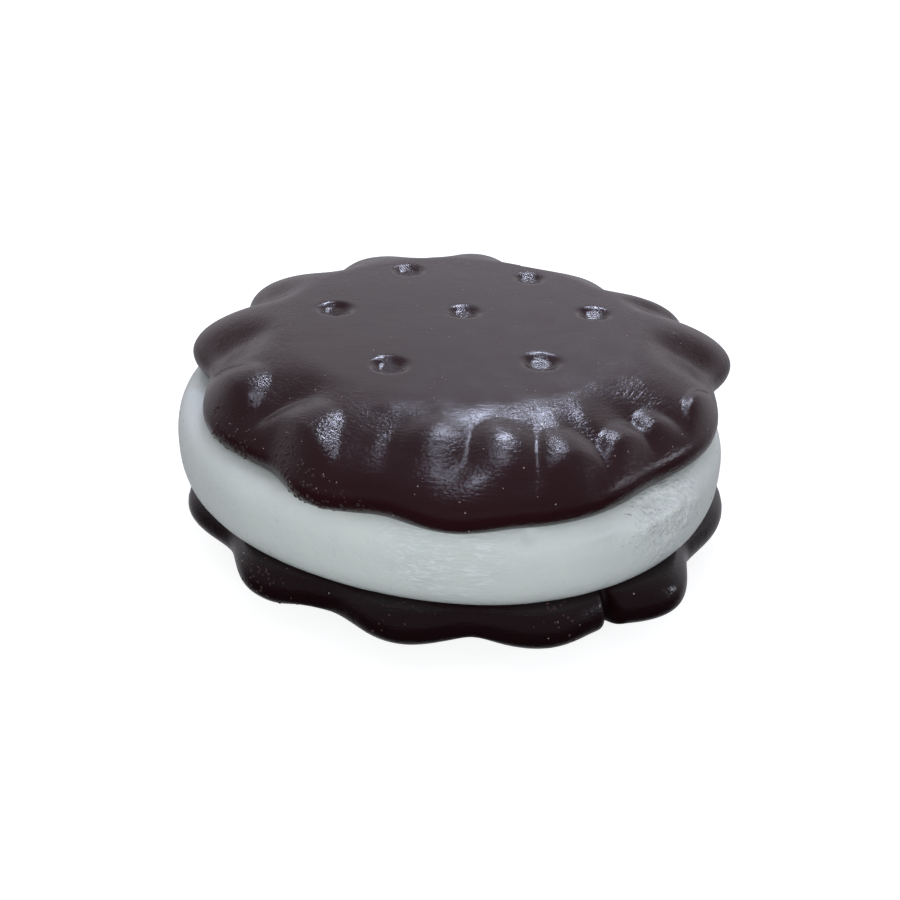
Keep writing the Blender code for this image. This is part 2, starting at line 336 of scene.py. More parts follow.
def press_mark():
    """A soft long mark: how far it lifts the surface at a place."""
    tree, given, result = new_tree("press_mark", (
        ("Place", "Vector", None), ("Middle", "Vector", None), ("Turn", "Float", 0.0),
        ("Half Sizes", "Vector", None), ("Height", "Float", 0.1)), (("Lift", "Float"),))
    away = add(tree, VECTOR, [given["Place"], given["Middle"]], operation="SUBTRACT")
    back_turn = add(tree, MATH, [given["Turn"], -math.pi / 180.0], operation="MULTIPLY")
    turned = add(tree, "ShaderNodeVectorRotate", {
        "Vector": away, "Angle": back_turn}, rotation_type="Z_AXIS")
    share = add(tree, VECTOR, [turned, given["Half Sizes"]], operation="DIVIDE")
    square = add(tree, VECTOR, [share, share], operation="DOT_PRODUCT").outputs["Value"]
    fade = add(tree, MATH, [add(tree, MATH, [square, -1.0], operation="MULTIPLY")], operation="EXPONENT")
    lift = add(tree, MATH, [fade, given["Height"]], operation="MULTIPLY")
    tree.links.new(lift.outputs[0], result.inputs["Lift"])
    return tree


def knuckle():
    """A rounded hump, given by its top and its roundness: the height of its surface at a place."""
    tree, given, result = new_tree("knuckle", (
        ("Place", "Vector", None), ("Middle", "Vector", None), ("Turn", "Float", 0.0),
        ("Roundness", "Vector", None), ("Top", "Float", 0.0)), (("Height", "Float"),))
    away = add(tree, VECTOR, [given["Place"], given["Middle"]], operation="SUBTRACT")
    back_turn = add(tree, MATH, [given["Turn"], -math.pi / 180.0], operation="MULTIPLY")
    turned = add(tree, "ShaderNodeVectorRotate", {
        "Vector": away, "Angle": back_turn}, rotation_type="Z_AXIS")
    square = add(tree, VECTOR, [turned, turned], operation="MULTIPLY")
    bend = add(tree, VECTOR, [square, given["Roundness"]], operation="DIVIDE")
    fall = add(tree, VECTOR, [bend, (-0.5, -0.5, 0.0)], operation="DOT_PRODUCT").outputs["Value"]
    height = add(tree, MATH, [fall, given["Top"]], operation="ADD")
    tree.links.new(height.outputs[0], result.inputs["Height"])
    return tree


def pricked_hole():
    """A pit with a flat tilted floor and a soft rim: how far it lifts the surface at a place."""
    tree, given, result = new_tree("pricked_hole", (
        ("Place", "Vector", None), ("Middle", "Vector", None), ("Half Width", "Float", 1.5),
        ("Depth", "Float", 0.6), ("Tilt", "Vector", None)), (("Lift", "Float"),))
    away = add(tree, VECTOR, [given["Place"], given["Middle"]], operation="SUBTRACT")
    distance = add(tree, VECTOR, [away], operation="LENGTH").outputs["Value"]
    share = add(tree, MATH, [distance, given["Half Width"]], operation="DIVIDE")
    inside = add(tree, MAP, {
        "Value": share, "From Min": 1.0, "From Max": 0.4}, interpolation_type="SMOOTHSTEP")
    up_floor = add(tree, VECTOR, [away, given["Tilt"]], operation="DOT_PRODUCT").outputs["Value"]
    shallower = add(tree, MATH, [up_floor, given["Half Width"]], operation="DIVIDE")
    deep = add(tree, MATH, [1.0, shallower], operation="SUBTRACT")
    lift = add(tree, MATH, [inside, deep], operation="MULTIPLY")
    lift = add(tree, MATH, [lift, given["Depth"]], operation="MULTIPLY")
    lift = add(tree, MATH, [lift, -1.0], operation="MULTIPLY")
    tree.links.new(lift.outputs[0], result.inputs["Lift"])
    return tree


def summed(tree, nodes, kind, operation="ADD"):
    """Chain nodes' first outputs into one sum."""
    total = nodes[0]
    for node in nodes[1:]:
        total = add(tree, kind, [total, node], operation=operation)
    return total


def wafer_tree(name, lobes, marks, knuckles, holes, grooves=()):
    """A scalloped wafer: a flat face, a round knuckled shoulder, a tight edge and a flat back."""
    tree, given, result = new_tree(name, (
        ("Across", "Int", 200), ("Levels", "Int", 8), ("Face Level", "Float", 0.0),
        ("Facing", "Float", 1.0), ("Thickness", "Float", WAFER_THICKNESS),
        ("Widest Below Face", "Float", WIDEST_BELOW_FACE), ("Back Inset", "Float", BACK_INSET),
        ("Fullness", "Float", SHOULDER_FULLNESS), ("Face Middle", "Vector", None),
        ("Face Radius", "Float", 16.0), ("Face Share", "Float", 0.5),
        ("Lobe Run In", "Float", LOBE_RUN_IN), ("Even Swell", "Float", EVEN_SWELL),
        ("Centring", "Vector", None), ("Unevenness", "Float", 0.12), ("Seed", "Float", 0.0),
        ("Material", "Material", None)), (("Geometry", "Geometry"),))
    cube = add(tree, "GeometryNodeMeshCube", {
        "Size": (2.0, 2.0, 2.0), "Vertices X": given["Across"], "Vertices Y": given["Across"],
        "Vertices Z": given["Levels"]})
    disc = add(tree, GROUP, node_tree=trees["disc_coordinates"]).outputs

    # How far along the section a point lies: the face, then the shoulder, then the edge, then the back
    face_share = add(tree, MAP, {"Value": disc["Reach"], "From Max": given["Face Share"]})
    down_share = add(tree, MAP, {"Value": disc["Reach"], "From Min": given["Face Share"]})
    quarter = add(tree, MATH, [down_share, math.pi / 2.0], operation="MULTIPLY")
    way = add(tree, MATH, [add(tree, MATH, [quarter], operation="SINE"), 0.8], operation="POWER")
    under = add(tree, MAP, {"Value": disc["Level"], "From Min": 1.0, "From Max": -1.0})
    past_edge = add(tree, MATH, [under, 0.0001], operation="GREATER_THAN")
    way = add(tree, MATH, [way, past_edge], operation="MAXIMUM")
    edge_turn = add(tree, MATH, [under, math.pi / 2.0], operation="MULTIPLY")

    # The scalloped outline: floor, height and swell at the point's angle
    rounds = []
    for index, (angle, radius, reach, sink) in enumerate(lobes):
        next_angle, next_radius, _, next_sink = lobes[(index + 1) % len(lobes)]
        rounds.append(add(tree, GROUP, {
            "Angle": disc["Angle"], "From": float(angle), "Width": float((next_angle - angle) % 360),
            "Radius Before": radius, "Radius After": next_radius, "Reach": reach,
            "Sink Before": sink, "Sink After": next_sink}, node_tree=trees["scallop"]))
    outline = add(tree, "ShaderNodeSeparateXYZ", [summed(tree, rounds, VECTOR)]).outputs
    even = add(tree, MATH, [outline[1], given["Even Swell"], outline[0]], operation="MULTIPLY_ADD")
    face_edge = add(tree, VECTOR, {
        "Vector": disc["Outward"], "Scale": given["Face Radius"]}, operation="SCALE")
    face_edge = add(tree, VECTOR, [face_edge, given["Face Middle"]], operation="ADD")
    face_reach = add(tree, VECTOR, [face_edge], operation="LENGTH").outputs["Value"]
    shoulder = add(tree, MATH, [even, face_reach], operation="SUBTRACT")
    distance = add(tree, MATH, [shoulder, way], operation="MULTIPLY")
    lobing = add(tree, MAP, {"Value": distance, "From Max": given["Lobe Run In"]},
                 interpolation_type="SMOOTHSTEP")
    height = add(tree, "ShaderNodeMix", {
        "Factor": lobing, "A": given["Even Swell"], "B": outline[2]}, data_type="FLOAT")
    radius = add(tree, MATH, [outline[1], height, outline[0]], operation="MULTIPLY_ADD")
    edge_cosine = add(tree, MATH, [edge_turn], operation="COSINE")
    turned_in = add(tree, MATH, [1.0, edge_cosine], operation="SUBTRACT")
    inset = add(tree, MATH, [turned_in, given["Back Inset"]], operation="MULTIPLY")
    radius = add(tree, MATH, [radius, inset], operation="SUBTRACT")

    # The place in plan
    on_face = add(tree, "ShaderNodeMix", {
        "Factor": face_share, "A": given["Face Middle"], "B": face_edge}, data_type="VECTOR")
    rim = add(tree, VECTOR, {"Vector": disc["Outward"], "Scale": radius}, operation="SCALE")
    plan = add(tree, "ShaderNodeMix", {"Factor": way, "A": on_face, "B": rim}, data_type="VECTOR")
    back_share = add(tree, "ShaderNodeMix", {
        "Factor": past_edge, "A": 1.0, "B": disc["Reach"]}, data_type="FLOAT")
    plan = add(tree, VECTOR, {"Vector": plan, "Scale": back_share}, operation="SCALE")
    plan = add(tree, VECTOR, [plan, given["Centring"]], operation="ADD")
    # Grooves push the edge inwards
    for x, y, turn, length, width, out in grooves:
        push = add(tree, GROUP, {
            "Place": plan, "Middle": (x, y, 0.0), "Turn": float(turn), "Half Sizes": (length, width, 1.0),
            "Height": out}, node_tree=trees["press_mark"])
        push = add(tree, VECTOR, {"Vector": disc["Outward"], "Scale": push}, operation="SCALE")
        plan = add(tree, VECTOR, [plan, push], operation="ADD")

    # The section's drop below the face
    power = add(tree, MATH, [way, given["Fullness"]], operation="POWER")
    rest = add(tree, MATH, [add(tree, MATH, [1.0, power], operation="SUBTRACT"), 0.0], operation="MAXIMUM")
    arch = add(tree, MATH, [1.0, add(tree, MATH, [rest], operation="SQRT")], operation="SUBTRACT")
    edge_height = add(tree, MATH, [given["Thickness"], given["Widest Below Face"]], operation="SUBTRACT")
    edge_sine = add(tree, MATH, [edge_turn], operation="SINE")
    edge_drop = add(tree, MATH, [edge_height, edge_sine], operation="MULTIPLY")
    drop = add(tree, MATH, [arch, given["Widest Below Face"], edge_drop], operation="MULTIPLY_ADD")

    # Valleys between the lobes, sunk into the shoulder
    rise = add(tree, MAP, {
        "Value": way, "From Min": 0.05, "From Max": 0.55}, interpolation_type="SMOOTHSTEP")
    fall = add(tree, MAP, {"Value": way, "From Min": 0.75, "From Max": 1.0, "To Min": 1.0, "To Max": 0.0},
               interpolation_type="SMOOTHSTEP")
    sunk = summed(tree, [each.outputs["Sink"] for each in rounds], MATH)
    sink = add(tree, MATH, [sunk, add(tree, MATH, [rise, fall], operation="MULTIPLY")], operation="MULTIPLY")

    # Finger marks and pricked holes, on the face and shoulder only
    lifts = [add(tree, GROUP, {
        "Place": plan, "Middle": (x, y, 0.0), "Turn": float(turn), "Half Sizes": (length, width, 1.0),
        "Height": lift}, node_tree=trees["press_mark"]) for x, y, turn, length, width, lift in marks]
    lifts += [add(tree, GROUP, {
        "Place": plan, "Middle": (x, y, 0.0), "Half Width": half_width, "Depth": depth,
        "Tilt": (right, back, 0.0)}, node_tree=trees["pricked_hole"])
        for x, y, half_width, depth, right, back in holes]
    lift = summed(tree, lifts, MATH)
    outside = add(tree, MAP, {"Value": under, "From Max": 0.6, "To Min": 1.0, "To Max": 0.0},
                  interpolation_type="SMOOTHSTEP")
    near_rim = add(tree, MAP, {
        "Value": way, "From Min": 0.85, "From Max": 1.0, "To Min": 1.0, "To Max": 0.35},
        interpolation_type="SMOOTHSTEP")
    kept = add(tree, MATH, [outside, near_rim], operation="MULTIPLY")
    lift = add(tree, MATH, [lift, kept], operation="MULTIPLY")
    level = add(tree, MATH, [lift, sink], operation="SUBTRACT")
    level = add(tree, MATH, [level, drop], operation="SUBTRACT")

    # Knuckles meet the shoulder and each other in soft creases, and end before the rim
    raised = level
    for x, y, top_level, turn, along, across in knuckles:
        hump = add(tree, GROUP, {
            "Place": plan, "Middle": (x, y, 0.0), "Turn": float(turn),
            "Roundness": (along, across, 1.0), "Top": top_level}, node_tree=trees["knuckle"])
        raised = add(tree, MATH, [raised, hump, CREASE_SOFTNESS], operation="SMOOTH_MAX")
    before_rim = add(tree, MAP, {
        "Value": way, "From Min": 0.97, "From Max": 0.72}, interpolation_type="SMOOTHSTEP")
    share = add(tree, MATH, [before_rim, outside], operation="MULTIPLY")
    level = add(tree, "ShaderNodeMix", {"Factor": share, "A": level, "B": raised}, data_type="FLOAT")
    level = add(tree, MATH, [level, given["Facing"], given["Face Level"]], operation="MULTIPLY_ADD")
    upright = add(tree, "ShaderNodeCombineXYZ", {"Z": level})
    place = add(tree, VECTOR, [plan, upright], operation="ADD")
    shaped = add(tree, "GeometryNodeSetPosition", {"Geometry": cube.outputs["Mesh"], "Position": place})

    # A wafer that faces down is mirrored, so its faces are turned the right way out again
    faces_down = add(tree, "FunctionNodeCompare", {"A": given["Facing"], "B": 0.0},
                     data_type="FLOAT", operation="LESS_THAN")
    turned = add(tree, "GeometryNodeFlipFaces", {"Mesh": shaped, "Selection": faces_down})

    # Hand-made unevenness, along the surface's own normal
    broad = add(tree, "ShaderNodeTexNoise", {
        "Vector": add(tree, "GeometryNodeInputPosition"), "W": given["Seed"], "Scale": 0.16, "Detail": 1.0},
        noise_dimensions="4D")
    close = add(tree, "ShaderNodeTexNoise", {
        "Vector": add(tree, "GeometryNodeInputPosition"), "W": given["Seed"], "Scale": 0.6, "Detail": 2.0},
        noise_dimensions="4D")
    wobble = add(tree, MATH, [close, FINE_WOBBLE_SHARE, broad], operation="MULTIPLY_ADD")
    middle = 0.5 * (1.0 + FINE_WOBBLE_SHARE)
    wobble = add(tree, MATH, [wobble, middle], operation="SUBTRACT")
    wobble = add(tree, MATH, [wobble, given["Unevenness"]], operation="MULTIPLY")
    offset = add(tree, VECTOR, {
        "Vector": add(tree, "GeometryNodeInputNormal"), "Scale": wobble}, operation="SCALE")
    uneven = add(tree, "GeometryNodeSetPosition", {"Geometry": turned, "Offset": offset})
    # Nothing goes below the floor
    lowest = (-100.0, -100.0, 0.0)
    place = add(tree, VECTOR, [add(tree, "GeometryNodeInputPosition"), lowest], operation="MAXIMUM")
    uneven = add(tree, "GeometryNodeSetPosition", {"Geometry": uneven, "Position": place})

    sized = add(tree, "GeometryNodeTransform", {"Geometry": uneven, "Scale": (MM, MM, MM)})
    smooth = add(tree, "GeometryNodeSetShadeSmooth", {"Geometry": sized, "Shade Smooth": True})
    real = add(tree, "GeometryNodeRealizeInstances", {"Geometry": smooth})
    coloured = add(tree, "GeometryNodeSetMaterial", {"Geometry": real, "Material": given["Material"]})
    tree.links.new(coloured.outputs["Geometry"], result.inputs["Geometry"])
    return tree


def filling_tree():
    """The filling: a round band with a fat side and a few slow waves."""
    tree, given, result = new_tree("piped_filling", (
        ("Across", "Int", 110), ("Levels", "Int", 44), ("Middle", "Vector", None),
        ("Radius", "Float", FILLING_RADIUS), ("Half Height", "Float", 3.3), ("Middle Level", "Float", 9.0),
        ("Bulge", "Float", FILLING_BULGE), ("Fullness", "Float", FILLING_FULLNESS),
        ("Unevenness", "Float", 0.1), ("Seed", "Float", 0.0), ("Material", "Material", None)),
        (("Geometry", "Geometry"),))
    cube = add(tree, "GeometryNodeMeshCube", {
        "Size": (2.0, 2.0, 2.0), "Vertices X": given["Across"], "Vertices Y": given["Across"],
        "Vertices Z": given["Levels"]})
    disc = add(tree, GROUP, node_tree=trees["disc_coordinates"]).outputs
    turn = add(tree, MATH, [disc["Level"], math.pi / 2.0], operation="MULTIPLY")
    share = add(tree, MATH, [turn], operation="SINE")
    size = add(tree, MATH, [share], operation="ABSOLUTE")
    power = add(tree, MATH, [size, given["Fullness"]], operation="POWER")
    rest = add(tree, MATH, [add(tree, MATH, [1.0, power], operation="SUBTRACT"), 0.0], operation="MAXIMUM")
    root = add(tree, MATH, [1.0, given["Fullness"]], operation="DIVIDE")
    side = add(tree, MATH, [add(tree, MATH, [rest, root], operation="POWER"), 1.0], operation="SUBTRACT")
    radius = add(tree, MATH, [side, given["Bulge"], given["Radius"]], operation="MULTIPLY_ADD")
    waves = []
    for count, height, lag in FILLING_WAVES:
        slope = add(tree, MATH, [disc["Angle"], float(count), lag], operation="MULTIPLY_ADD")
        wave = add(tree, MATH, [add(tree, MATH, [slope], operation="RADIANS")], operation="COSINE")
        waves.append(add(tree, MATH, [wave, height], operation="MULTIPLY"))
    radius = add(tree, MATH, [radius, summed(tree, waves, MATH)], operation="ADD")
    reach = add(tree, MATH, [radius, disc["Reach"]], operation="MULTIPLY")
    plan = add(tree, VECTOR, {"Vector": disc["Outward"], "Scale": reach}, operation="SCALE")
    plan = add(tree, VECTOR, [plan, given["Middle"]], operation="ADD")
    level = add(tree, MATH, [share, given["Half Height"], given["Middle Level"]], operation="MULTIPLY_ADD")
    place = add(tree, VECTOR, [plan, add(tree, "ShaderNodeCombineXYZ", {"Z": level})], operation="ADD")
    lifts = [add(tree, GROUP, {
        "Place": place, "Middle": (x, y, z), "Turn": float(turn), "Half Sizes": (length, 3.0, height),
        "Height": lift}, node_tree=trees["press_mark"])
        for x, y, z, turn, length, height, lift in FILLING_MARKS]
    lift = summed(tree, lifts, MATH)
    lift = add(tree, VECTOR, {"Vector": disc["Outward"], "Scale": lift}, operation="SCALE")
    place = add(tree, VECTOR, [place, lift], operation="ADD")
    shaped = add(tree, "GeometryNodeSetPosition", {"Geometry": cube.outputs["Mesh"], "Position": place})
    noise = add(tree, "ShaderNodeTexNoise", {
        "Vector": add(tree, "GeometryNodeInputPosition"), "W": given["Seed"], "Scale": 0.25, "Detail": 2.0},
        noise_dimensions="4D")
    wobble = add(tree, MATH, [noise, 0.5], operation="SUBTRACT")
    wobble = add(tree, MATH, [wobble, given["Unevenness"]], operation="MULTIPLY")
    offset = add(tree, VECTOR, {
        "Vector": add(tree, "GeometryNodeInputNormal"), "Scale": wobble}, operation="SCALE")
    uneven = add(tree, "GeometryNodeSetPosition", {"Geometry": shaped, "Offset": offset})
    sized = add(tree, "GeometryNodeTransform", {"Geometry": uneven, "Scale": (MM, MM, MM)})
    smooth = add(tree, "GeometryNodeSetShadeSmooth", {"Geometry": sized, "Shade Smooth": True})
    real = add(tree, "GeometryNodeRealizeInstances", {"Geometry": smooth})
    coloured = add(tree, "GeometryNodeSetMaterial", {"Geometry": real, "Material": given["Material"]})
    tree.links.new(coloured.outputs["Geometry"], result.inputs["Geometry"])
    return tree


def scatter_tree(patches):
    """Small lumps strewn over a surface: everywhere, or only near the given patches."""
    tree, given, result = new_tree("strewn_lumps", (
        ("Surface", "Object", None), ("Per Square Metre", "Float", 50000.0), ("Everywhere", "Float", 0.0),
        ("In Patches", "Float", 1.0), ("Smallest", "Float", 0.1), ("Largest", "Float", 0.3),
        ("Flatness", "Float", 0.5), ("Stretch", "Float", 1.0), ("Lowest", "Float", 1.0),
        ("Seed", "Int", 0), ("Material", "Material", None)), (("Geometry", "Geometry"),))
    surface = add(tree, "GeometryNodeObjectInfo", {"Object": given["Surface"]}).outputs["Geometry"]
    place = add(tree, VECTOR, {
        "Vector": add(tree, "GeometryNodeInputPosition"), "Scale": 1.0 / MM}, operation="SCALE")
    spots = [add(tree, GROUP, {
        "Place": place, "Middle": (x, y, z), "Half Sizes": (reach, reach, reach), "Height": 1.0},
        node_tree=trees["press_mark"]) for x, y, z, reach in patches]
    near = add(tree, MATH, [summed(tree, spots, MATH), given["In Patches"], given["Everywhere"]],
               operation="MULTIPLY_ADD")
    level = add(tree, "ShaderNodeSeparateXYZ", [place]).outputs["Z"]
    above_base = add(tree, MATH, [level, given["Lowest"]], operation="GREATER_THAN")
    near = add(tree, MATH, [near, above_base], operation="MULTIPLY")
    density = add(tree, MATH, [near, given["Per Square Metre"]], operation="MULTIPLY")
    points = add(tree, "GeometryNodeDistributePointsOnFaces", {
        "Mesh": surface, "Density": density, "Seed": given["Seed"]})
    lump = add(tree, "GeometryNodeMeshIcoSphere", {"Radius": 0.5, "Subdivisions": 1})
    smallest = add(tree, MATH, [given["Smallest"], MM], operation="MULTIPLY")
    largest = add(tree, MATH, [given["Largest"], MM], operation="MULTIPLY")
    low_height = add(tree, MATH, [smallest, given["Flatness"]], operation="MULTIPLY")
    high_height = add(tree, MATH, [largest, given["Flatness"]], operation="MULTIPLY")
    low_length = add(tree, MATH, [smallest, given["Stretch"]], operation="MULTIPLY")
    high_length = add(tree, MATH, [largest, given["Stretch"]], operation="MULTIPLY")
    low = add(tree, "ShaderNodeCombineXYZ", [low_length, smallest, low_height])
    high = add(tree, "ShaderNodeCombineXYZ", [high_length, largest, high_height])
    sizes = add(tree, "FunctionNodeRandomValue", {
        "Min": low, "Max": high, "Seed": given["Seed"]}, data_type="FLOAT_VECTOR")
    strewn = add(tree, "GeometryNodeInstanceOnPoints", {
        "Points": points.outputs["Points"], "Instance": lump.outputs["Mesh"],
        "Rotation": points.outputs["Rotation"], "Scale": sizes})
    turns = add(tree, "FunctionNodeRandomValue", {
        "Min": (0.0, 0.0, -0.6), "Max": (0.0, 0.0, 0.6), "Seed": given["Seed"]}, data_type="FLOAT_VECTOR")
    strewn = add(tree, "GeometryNodeRotateInstances", {"Instances": strewn, "Rotation": turns})
    real = add(tree, "GeometryNodeRealizeInstances", {"Geometry": strewn})
    smooth = add(tree, "GeometryNodeSetShadeSmooth", {"Geometry": real, "Shade Smooth": True})
    coloured = add(tree, "GeometryNodeSetMaterial", {"Geometry": smooth, "Material": given["Material"]})
    tree.links.new(coloured.outputs["Geometry"], result.inputs["Geometry"])
    return tree


# Materials

def new_material(name, ior):
    material = bpy.data.materials.new(name)
    material.use_nodes = True
    tree = material.node_tree
    shader = tree.nodes["Principled BSDF"]
    shader.inputs["IOR"].default_value = ior
    place = add(tree, "ShaderNodeTexCoord").outputs["Object"]
    return material, tree, shader, place


def patch(tree, place, middle, reach):
    """A soft patch, 1 in its middle and 0 past its reach, both given in millimetres."""
    middle = tuple(value * MM for value in middle)
    away = add(tree, VECTOR, [place, middle], operation="DISTANCE").outputs["Value"]
    return add(tree, MAP, {"Value": away, "From Min": reach * MM, "From Max": 0.3 * reach * MM},
               interpolation_type="SMOOTHSTEP")


def varnished_clay(name, dark, light, crinkled_places=()):
    """Dark polymer clay pressed by hand, then brushed with gloss varnish.

    The brush went round the rim and straight over the face, and left fine lines in the varnish, which
    break each bright reflection into short streaks. A finer crinkle turns the streaks into sparkles.
    """
    material, tree, shader, place = new_material(name, 1.5)
    broad = add(tree, "ShaderNodeTexNoise", {"Vector": place, "Scale": 0.15 / MM, "Detail": 4.0})
    colour = add(tree, "ShaderNodeMix", {
        "Factor": broad, "A": linear(dark), "B": linear(light)}, data_type="RGBA")
    tree.links.new(colour.outputs[2], shader.inputs["Base Color"])

    # Brush lines, about 1 mm long and 0.25 mm wide, round the rim and straight over the face
    flat = add(tree, VECTOR, [place, (1.0, 1.0, 0.0)], operation="MULTIPLY")
    radius = add(tree, VECTOR, [flat], operation="LENGTH").outputs["Value"]
    outward = add(tree, VECTOR, [flat], operation="NORMALIZE")
    across = add(tree, MATH, [radius, 4.0 / MM], operation="MULTIPLY")
    level = add(tree, MATH, [add(tree, "ShaderNodeSeparateXYZ", [place]).outputs["Z"], 4.0 / MM],
                operation="MULTIPLY")
    round_spot = add(tree, VECTOR, {"Vector": outward, "Scale": 22.0}, operation="SCALE")
    round_spot = add(tree, VECTOR, [
        round_spot, add(tree, "ShaderNodeCombineXYZ", {"Z": across})], operation="ADD")
    round_lines = add(tree, "ShaderNodeTexNoise", {
        "Vector": round_spot, "W": level, "Scale": 1.0, "Detail": 3.0, "Distortion": 0.5},
        noise_dimensions="4D")
    straight_spot = add(tree, VECTOR, [place, (0.5 / MM, 4.0 / MM, 4.0 / MM)], operation="MULTIPLY")
    straight_lines = add(tree, "ShaderNodeTexNoise", {
        "Vector": straight_spot, "Scale": 1.0, "Detail": 3.0, "Distortion": 0.5})
    on_rim = add(tree, MAP, {
        "Value": radius, "From Min": STRAIGHT_LINES_END * MM, "From Max": ROUND_LINES_START * MM})
    lines = add(tree, "ShaderNodeMix", {
        "Factor": on_rim, "A": straight_lines, "B": round_lines}, data_type="FLOAT")
    crinkle = add(tree, "ShaderNodeTexNoise", {"Vector": place, "Scale": 4.0 / MM, "Detail": 3.0})
    wrinkled = add(tree, MATH, [crinkle, 0.8, lines], operation="MULTIPLY_ADD")
    # Smudged varnish, thicker in places
    smudge = add(tree, "ShaderNodeTexNoise", {"Vector": place, "Scale": 0.5 / MM, "Detail": 2.0})
    strength = add(tree, MAP, {
        "Value": smudge, "From Min": 0.35, "From Max": 0.65, "To Min": 0.5, "To Max": 1.0})
    # The face was wiped smooth, and the pricked holes were not
    uneven = add(tree, MAP, {
        "Value": radius, "From Min": STRAIGHT_LINES_END * MM, "From Max": WIPED_FACE_END * MM,
        "To Min": 0.34})
    for middle in crinkled_places:
        crinkled = patch(tree, place, middle, HOLE_CRINKLE_REACH)
        uneven = add(tree, MATH, [uneven, crinkled], operation="MAXIMUM")
    strength = add(tree, MATH, [strength, uneven], operation="MULTIPLY")
    bump = add(tree, "ShaderNodeBump", {"Strength": strength, "Distance": 0.05 * MM, "Height": wrinkled})
    tree.links.new(bump.outputs[0], shader.inputs["Normal"])
    rough = add(tree, MAP, {
        "Value": smudge, "From Min": 0.1, "From Max": 0.9, "To Min": 0.16, "To Max": 0.3})
    tree.links.new(rough.outputs[0], shader.inputs["Roughness"])
    return material


def pale_dust():
    """Specks of pale dust caught in the varnish."""
    material, tree, shader, place = new_material("pale_dust", 1.5)
    shader.inputs["Roughness"].default_value = 0.5
    spot = add(tree, "ShaderNodeTexNoise", {"Vector": place, "Scale": 1.0 / MM, "Detail": 1.0})
    colour = add(tree, "ShaderNodeMix", {
        "Factor": spot, "A": linear("7c6e6a"), "B": linear("c4b8ae")}, data_type="RGBA")
    tree.links.new(colour.outputs[2], shader.inputs["Base Color"])
    return material


def translucent_resin():
    """White silicone-like resin, squeezed on and smoothed by hand.

    It is cool white, and light goes a little way into it, which softens its shading. A wet lumpy patch
    on the right and scratches in front catch the light, and there the colour is whitened as painted glints.
    """
    material, tree, shader, place = new_material("translucent_white_resin", 1.45)
    shader.inputs["Subsurface Weight"].default_value = 0.25
    shader.inputs["Subsurface Radius"].default_value = (1.0, 1.0, 0.9)
    shader.inputs["Subsurface Scale"].default_value = 1.5 * MM
    broad = add(tree, "ShaderNodeTexNoise", {"Vector": place, "Scale": 0.2 / MM, "Detail": 3.0})
    colour = add(tree, "ShaderNodeMix", {
        "Factor": broad, "A": linear("e2eae9"), "B": linear("eef3f1")}, data_type="RGBA")
    fine = add(tree, "ShaderNodeTexNoise", {"Vector": place, "Scale": 1.2 / MM, "Detail": 3.0})
    rough = add(tree, MAP, {
        "Value": fine, "From Min": 0.3, "From Max": 0.7, "To Min": 0.26, "To Max": 0.4})
    tree.links.new(rough.outputs[0], shader.inputs["Roughness"])
    wet = patch(tree, place, WET_PATCH[:3], WET_PATCH[3])
    scratched = patch(tree, place, SCRATCHED_PATCH[:3], SCRATCHED_PATCH[3])
    scratch_spot = add(tree, VECTOR, [place, (0.7 / MM, 4.0 / MM, 4.0 / MM)], operation="MULTIPLY")
    scratches = add(tree, "ShaderNodeTexNoise", {
        "Vector": scratch_spot, "Scale": 1.0, "Detail": 3.0, "Distortion": 1.2})
    lumps = add(tree, "ShaderNodeTexNoise", {
        "Vector": place, "Scale": 1.8 / MM, "Detail": 3.0, "Distortion": 0.8})
    # Painted glints: along the scratches in the scratched and wet patches the colour is whitened, standing
    # in for the glints they catch
    glint_painted_reach = add(tree, MATH, [scratched, wet], operation="MAXIMUM")
    painted_glint_strokes = add(tree, MAP, {"Value": scratches, "From Min": 0.52, "From Max": 0.62})
    painted_glint_strokes = add(tree, MATH, [painted_glint_strokes, glint_painted_reach], operation="MULTIPLY")
    glint_whitened_colour = add(tree, "ShaderNodeMix", {
        "Factor": painted_glint_strokes, "A": colour.outputs[2], "B": linear("f6fdff")}, data_type="RGBA")
    tree.links.new(glint_whitened_colour.outputs[2], shader.inputs["Base Color"])
    height = add(tree, MATH, [scratches, scratched], operation="MULTIPLY")
    lumpy = add(tree, MATH, [lumps, wet], operation="MULTIPLY")
    height = add(tree, MATH, [lumpy, 2.5, height], operation="MULTIPLY_ADD")
    height = add(tree, MATH, [fine, 0.6, height], operation="MULTIPLY_ADD")
    bump = add(tree, "ShaderNodeBump", {"Strength": 1.0, "Distance": 0.1 * MM, "Height": height})
    tree.links.new(bump.outputs[0], shader.inputs["Normal"])
    return material


def bead_resin_painted_glint():
    """Beads of the resin that set with a wet shine. Their colour is whiter than the filling's, as painted
    glints.
    """
    material, tree, shader, place = new_material("painted_glint_white_resin", 1.45)
    shader.inputs["Roughness"].default_value = 0.12
    shader.inputs["Subsurface Weight"].default_value = 0.25
    shader.inputs["Subsurface Radius"].default_value = (1.0, 1.0, 0.9)
    shader.inputs["Subsurface Scale"].default_value = 1.5 * MM
    # Near pure white, whiter than the filling: painted glints on the beads
    broad = add(tree, "ShaderNodeTexNoise", {"Vector": place, "Scale": 0.5 / MM, "Detail": 2.0})
    colour = add(tree, "ShaderNodeMix", {
        "Factor": broad, "A": linear("f6fbfa"), "B": linear("ffffff")}, data_type="RGBA")
    tree.links.new(colour.outputs[2], shader.inputs["Base Color"])
    return material


# The studio

def stage_piece(name, points, faces, material):
    mesh = bpy.data.meshes.new(name)
    mesh.from_pydata(points, [], faces)
    mesh.materials.append(material)
    piece = bpy.data.objects.new(name, mesh)
    bpy.context.scene.collection.objects.link(piece)
    return piece


def white_card():
    """Matt white card for the floor, lit a little past white."""
    material, _, shader, _ = new_material("matt_white_card", 1.4)
    shader.inputs["Roughness"].default_value = 0.9
    shader.inputs["Base Color"].default_value = linear("e8e8e8")
    shader.inputs["Emission Color"].default_value = linear("ffffff")
    shader.inputs["Emission Strength"].default_value = 0.75
    return material


